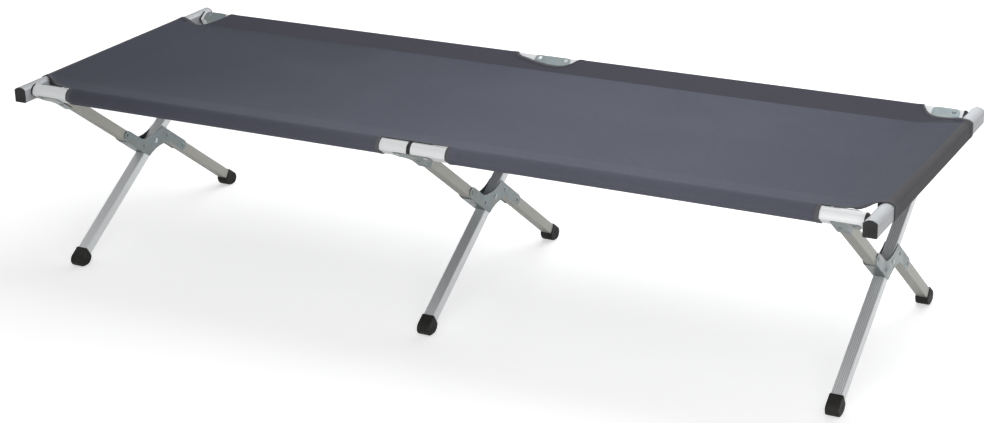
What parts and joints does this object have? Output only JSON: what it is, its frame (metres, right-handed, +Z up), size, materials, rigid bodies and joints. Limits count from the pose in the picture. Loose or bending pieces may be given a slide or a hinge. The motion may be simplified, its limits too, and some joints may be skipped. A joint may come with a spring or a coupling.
{
  "type": "folding camping cot",
  "caption": "Folding camping cot with a fabric bed on jointed aluminium side rails, scissor leg frames with rubber feet and push-fit end bars.",
  "frame": {"origin": "centre of the footprint, on the floor", "axes": "+X along the cot to its right end, +Y from the near side to the far side, +Z up"},
  "size_m": [1.9026, 0.7, 0.4212],
  "materials": {
    "aluminium": "satin anodised tube",
    "leg_aluminium": "grooved mill-finish tube",
    "zinc_steel": "zinc-plated pressed sheet",
    "rivet_steel": "bright plated rivets and pegs",
    "black_plastic": "moulded black plastic",
    "black_rubber": "matt black rubber",
    "fabric": "blue-grey woven polyester"
  },
  "bodies": {
    "far_side": {"far_left_half_rail": "aluminium", "far_right_half_rail": "aluminium", "far_left_gap_plug": "black_plastic", "far_right_gap_plug": "black_plastic", "far_left_end_plug": "black_plastic", "far_right_end_plug": "black_plastic", "far_left_peg": "rivet_steel", "far_right_peg": "rivet_steel", "far_left_hinge_rivet": "rivet_steel", "far_right_hinge_rivet": "rivet_steel", "far_left_top_bracket": "zinc_steel", "far_middle_top_bracket": "zinc_steel", "far_right_top_bracket": "zinc_steel", "far_left_sleeve": "fabric", "far_right_sleeve": "fabric", "left_straight_leg": "leg_aluminium", "middle_straight_leg": "leg_aluminium", "right_straight_leg": "leg_aluminium", "left_pivot_rivet": "rivet_steel", "middle_pivot_rivet": "rivet_steel", "right_pivot_rivet": "rivet_steel", "near_left_foot": "black_rubber", "near_middle_foot": "black_rubber", "near_right_foot": "black_rubber", "fabric_deck": "fabric"},
    "near_side": {"near_left_half_rail": "aluminium", "near_right_half_rail": "aluminium", "near_left_gap_plug": "black_plastic", "near_right_gap_plug": "black_plastic", "near_left_end_plug": "black_plastic", "near_right_end_plug": "black_plastic", "near_left_peg": "rivet_steel", "near_right_peg": "rivet_steel", "near_left_hinge_rivet": "rivet_steel", "near_right_hinge_rivet": "rivet_steel", "near_left_top_bracket": "zinc_steel", "near_middle_top_bracket": "zinc_steel", "near_right_top_bracket": "zinc_steel", "near_left_sleeve": "fabric", "near_right_sleeve": "fabric", "left_upper_half_leg": "leg_aluminium", "middle_upper_half_leg": "leg_aluminium", "right_upper_half_leg": "leg_aluminium", "left_lower_half_leg": "leg_aluminium", "middle_lower_half_leg": "leg_aluminium", "right_lower_half_leg": "leg_aluminium", "left_crossing_bracket": "zinc_steel", "middle_crossing_bracket": "zinc_steel", "right_crossing_bracket": "zinc_steel", "far_left_foot": "black_rubber", "far_middle_foot": "black_rubber", "far_right_foot": "black_rubber"},
    "left_bar": {"left_end_bar": "aluminium", "near_left_bar_cap": "black_plastic", "far_left_bar_cap": "black_plastic", "left_end_pocket": "fabric"},
    "right_bar": {"right_end_bar": "aluminium", "near_right_bar_cap": "black_plastic", "far_right_bar_cap": "black_plastic", "right_end_pocket": "fabric"}
  },
  "joints": [
    {"name": "scissor_fold", "type": "hinge", "parent": "far_side", "child": "near_side", "pos_m": [0, 0, 0.2015], "axis": [-1, 0, 0], "range_deg": [0, 105], "deforming": ["fabric_deck"]},
    {"name": "left_bar_pull", "type": "slide", "parent": "far_side", "child": "left_bar", "axis": [-1, 0, 0], "range_m": [0, 0.03]},
    {"name": "right_bar_pull", "type": "slide", "parent": "far_side", "child": "right_bar", "axis": [1, 0, 0], "range_m": [0, 0.03]}
  ]
}
